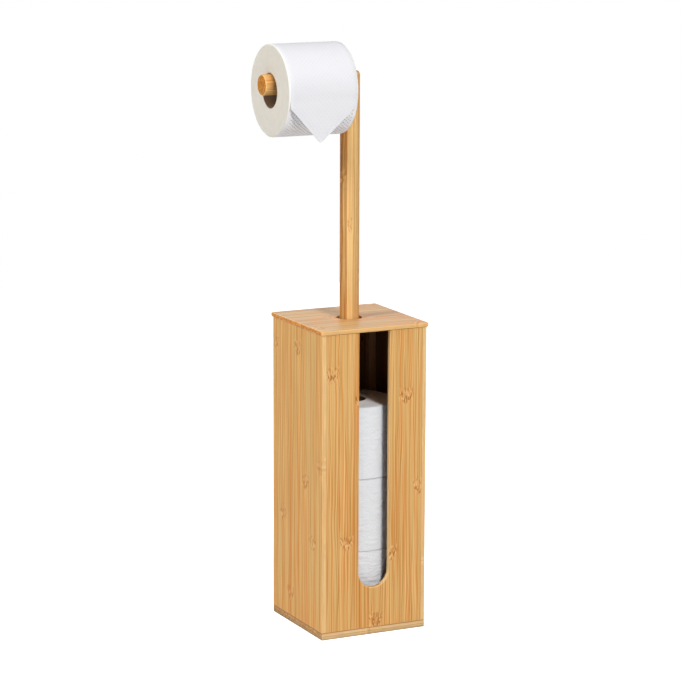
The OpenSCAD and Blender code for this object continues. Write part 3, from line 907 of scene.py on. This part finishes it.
# %% The hanging sheet's surface and its thickness
HUG, SWING_DROP, BOW, FOLD_R, TIP_HALF = 0.45, 16.0, 0.25, 0.28, 0.3
left_x, right_x = tail_low.x, tail_high.x
tip_x, tip_z, shoulder_z = left_x + 41.0, tail_low.z, roll_z - 17.0


def sheet_surface(x, z):
    """The sheet's front below the roll's middle, where it hugs the roll, then swings clear."""
    drop = roll_z - z
    close = -math.sqrt(roll_r ** 2 - min(drop, 30.0) ** 2) - HUG
    across = (x - left_x) / (right_x - left_x)
    bow = BOW * math.sin(across * math.pi * 2.2 + 0.6)
    t = min(1.0, drop / SWING_DROP)
    clear = t ** 3 * (t * (6 * t - 15) + 10)
    return Vector((x, close + (tail_low.y + 0.5 + bow - close) * clear, z))


def layer(grid, thick):
    """A thin closed sheet from a grid of front points and its outward directions."""
    rows, cols = len(grid), len(grid[0])
    points = [p for row in grid for p, _ in row] + [p - n * thick for row in grid for p, n in row]
    deep = rows * cols
    faces = []
    for i in range(rows - 1):
        for j in range(cols - 1):
            a = i * cols + j
            faces.append((a, a + 1, a + cols + 1, a + cols))
            faces.append((deep + a, deep + a + cols, deep + a + cols + 1, deep + a + 1))
    rim = ([(0, j) for j in range(cols)] + [(i, cols - 1) for i in range(1, rows)]
           + [(rows - 1, j) for j in range(cols - 2, -1, -1)]
           + [(i, 0) for i in range(rows - 2, 0, -1)])
    for (i, j), (k, l) in zip(rim, rim[1:] + rim[:1]):
        a, b = i * cols + j, k * cols + l
        faces.append((a, deep + a, deep + b, b))
    return points, faces


# %% The front layer
COLS, ROWS, DIP_ROWS, RIM_ROWS = 40, 36, 6, 48
grid = []
# Over the roll, from just behind its top, where the sheet dips under the paper
for i, degrees in enumerate(evenly(88, 92, ROWS)):
    turn = math.radians(degrees)
    out = Vector((0, math.cos(turn), math.sin(turn)))
    r = roll_r - 0.35 + 0.8 * min(1.0, i / DIP_ROWS)
    grid.append([(Vector((x, r * out.y, roll_z + r * out.z)), out)
                 for x in evenly(left_x, right_x - left_x, COLS)])
# Down the front, narrowing from the shoulders to the point
for i in range(1, ROWS + 1):
    z = roll_z - (roll_z - tip_z) * i / ROWS
    narrow = max(0.0, (shoulder_z - z) / (shoulder_z - tip_z))
    a, b = left_x + (tip_x - left_x) * narrow, right_x + (tip_x - right_x) * narrow
    if i == ROWS:
        a, b = tip_x - TIP_HALF, tip_x + TIP_HALF
    grid.append([(sheet_surface(x, z), Vector((0, -1, 0))) for x in evenly(a, b - a, COLS)])
# Over the roll's soft rims the sheet's two sides lie down with them
for row in grid[:RIM_ROWS]:
    for j, lie in ((0, 0.6), (1, 0.12), (COLS - 1, 0.12), (COLS, 0.6)):
        p, n = row[j]
        row[j] = (p - n * lie, n)
points, faces = layer(grid, sheet_t)
print("front layer:", len(grid), "rows from", round(grid[0][0][0].z, 1), "to", round(tip_z, 1))

# %% [markdown]
# Each corner of the sheet is mirrored across its fold and laid behind the front layer. A
# flap is widest where the corner's foot meets the fold and runs out at both ends.

# %% Corner flaps
HALF_ROWS, FOLD_STEPS = 7, 4
for side_x in (left_x, right_x):
    top, tip = Vector((side_x, shoulder_z)), Vector((tip_x, tip_z))
    corner = Vector((side_x, tip_z))
    line = (tip - top).normalized()
    foot_at = top + line * (corner - top).dot(line)
    mirrored = foot_at * 2 - corner
    inward = (mirrored - foot_at).normalized()
    at_foot = (foot_at - top).length / (tip - top).length
    widest = (mirrored - foot_at).length
    flap = []
    for i in range(2 * HALF_ROWS + 1):
        share = (at_foot * i / HALF_ROWS if i <= HALF_ROWS
                 else at_foot + (1 - at_foot) * (i - HALF_ROWS) / HALF_ROWS)
        on_fold = top.lerp(tip, share)
        reach = max(HAIR, widest * (min(i, 2 * HALF_ROWS - i) / HALF_ROWS))
        row = []
        base = sheet_surface(on_fold.x, on_fold.y)
        for k in range(2 * FOLD_STEPS + 1):
            swing = math.pi * min(k, FOLD_STEPS) / FOLD_STEPS
            beyond = reach * max(0, k - FOLD_STEPS) / FOLD_STEPS
            out, back_by = math.sin(swing), math.cos(swing)
            at = on_fold + inward * (beyond - FOLD_R * out)
            deep = FOLD_R * (1 - back_by) + sheet_t * 0.5
            row.append((Vector((at.x, base.y + deep, at.y)),
                        Vector((-inward.x * out, -back_by, -inward.y * out))))
        flap.append(row)
    more, more_faces = layer(flap, sheet_t * 0.6)
    faces += [tuple(v + len(points) for v in f) for f in more_faces]
    points += more
tail = solid("folded_sheet", points, faces, crease=60)
piece(tail, "roll", sheet_tissue, "roll_tail")

# %% [markdown]
# ## Floor, light and camera
# The stand is shown on white. The background is white by what the camera sees: the world's
# strength is 1 for camera, mirror and clear rays and low for the light that falls on the
# object, and the floor adds a glow for the camera alone, so that it turns white but keeps
# the faint shadow where the base meets it.

# %% World and floor
world = bpy.data.worlds.new("studio")
bpy.context.scene.world = world
world.use_nodes = True
sky = Wire(world.node_tree)
camera_ray, mirror_ray, clear_ray = (sky.node("LightPath", out=f"Is {kind} Ray")
                                     for kind in ("Camera", "Glossy", "Transmission"))
shown = sky.math("MAXIMUM", sky.math("MAXIMUM", camera_ray, mirror_ray), clear_ray)
soft = sky.node("Background", {}, {"Color": (0.96, 0.98, 1.0, 1), "Strength": 0.1})
plain = sky.node("Background", {}, {"Color": (1, 1, 1, 1), "Strength": 1.0})
both = sky.node("MixShader", {}, {0: shown, 1: soft, 2: plain})
world.node_tree.links.new(both.socket, world.node_tree.nodes["World Output"].inputs["Surface"])

FLOOR_R, FLOOR_SIDES, GLOW = 2.6, 64, 0.84
floor_mesh = bpy.data.meshes.new("floor")
floor_mesh.from_pydata([(FLOOR_R * math.cos(a), FLOOR_R * math.sin(a), 0)
                        for a in evenly(0, 2 * math.pi, FLOOR_SIDES)[:-1]],
                       [], [tuple(range(FLOOR_SIDES))])
floor = new_object("floor", floor_mesh)
paint = bpy.data.materials.new("pale_floor")
paint.use_nodes = True
wire = Wire(paint.node_tree)
seen = wire.node("LightPath", out="Is Camera Ray")
matt = wire.node("BsdfDiffuse", {}, {"Color": (0.8, 0.8, 0.8, 1)})
glow = wire.node("Emission", {}, {"Color": (1, 1, 1, 1), "Strength": GLOW})
lit = wire.node("AddShader", {}, {0: matt, 1: glow})
look = wire.node("MixShader", {}, {0: seen, 1: matt, 2: lit})
paint.node_tree.links.new(look.socket, paint.node_tree.nodes["Material Output"].inputs["Surface"])
floor_mesh.materials.append(paint)
print("floor", FLOOR_R * 2, "m across, its glow", GLOW)

# %% [markdown]
# The key lamp is in front and 36 degrees up, and its size keeps the shadows' edges soft. A
# wider fill lights the left side. A weak lamp behind keeps the back wall from going black,
# and gives no glare, because it would show as a pale sheen on the lid from the front.

# %% Lamps
LAMP_AIM = Vector((0, 0, 0.4))


def outward(azimuth, elevation):
    """The direction from the object towards a viewer or a lamp, angles in degrees."""
    a, e = math.radians(azimuth), math.radians(elevation)
    return Vector((math.sin(a) * math.cos(e), -math.cos(a) * math.cos(e), math.sin(e)))


def lamp(name, azimuth, elevation, distance, size, watts, glare=True):
    """A square lamp that looks at the middle of the stand; glare lets lacquer mirror it."""
    light = bpy.data.lights.new(name, "AREA")
    light.size, light.energy = size, watts
    made = new_object(name, light)
    made.visible_glossy = glare
    way = outward(azimuth, elevation)
    made.location = way * distance + LAMP_AIM
    made.rotation_mode = "QUATERNION"
    made.rotation_quaternion = way.to_track_quat("Z", "Y")
    print(name, [round(v, 2) for v in made.location], watts, "W")


lamp("key", 4, 36, 4.0, 0.8, 102)
lamp("fill", -84, 36, 5.0, 2.2, 150)
lamp("back", 178, 14, 6.0, 2.0, 80, glare=False)

# %% [markdown]
# The camera stands nearly four metres away with a long lens, so upright edges hardly
# converge. Its direction, distance and lens were fitted to the edges of box, lid and base.

# %% Camera
azimuth, elevation, roll_turn, distance = -26.10, 11.14, 0.18, 3.7169
aim = Vector((-0.010125, 0.004961, 0.37803))
FRAME_PX, FOCUS_PX, SENSOR_MM = 681, 2842.4, 36.0
lens = bpy.data.cameras.new("camera")
lens.sensor_width, lens.lens = SENSOR_MM, FOCUS_PX / FRAME_PX * SENSOR_MM
lens.clip_start, lens.clip_end = 0.05, 100.0
camera = new_object("camera", lens)
back_way = outward(azimuth, elevation)
camera.location = aim + back_way * distance
camera.rotation_mode = "QUATERNION"
camera.rotation_quaternion = (back_way.to_track_quat("Z", "Y")
                              @ Quaternion((0, 0, 1), math.radians(roll_turn)))
bpy.context.scene.camera = camera
bpy.context.scene.view_settings.view_transform = "Standard"
print("camera at", [round(v, 3) for v in camera.location])

# %% [markdown]
# ## Size and finish
# The last line brings the scene up to date.

# %% Size
bpy.context.view_layer.update()
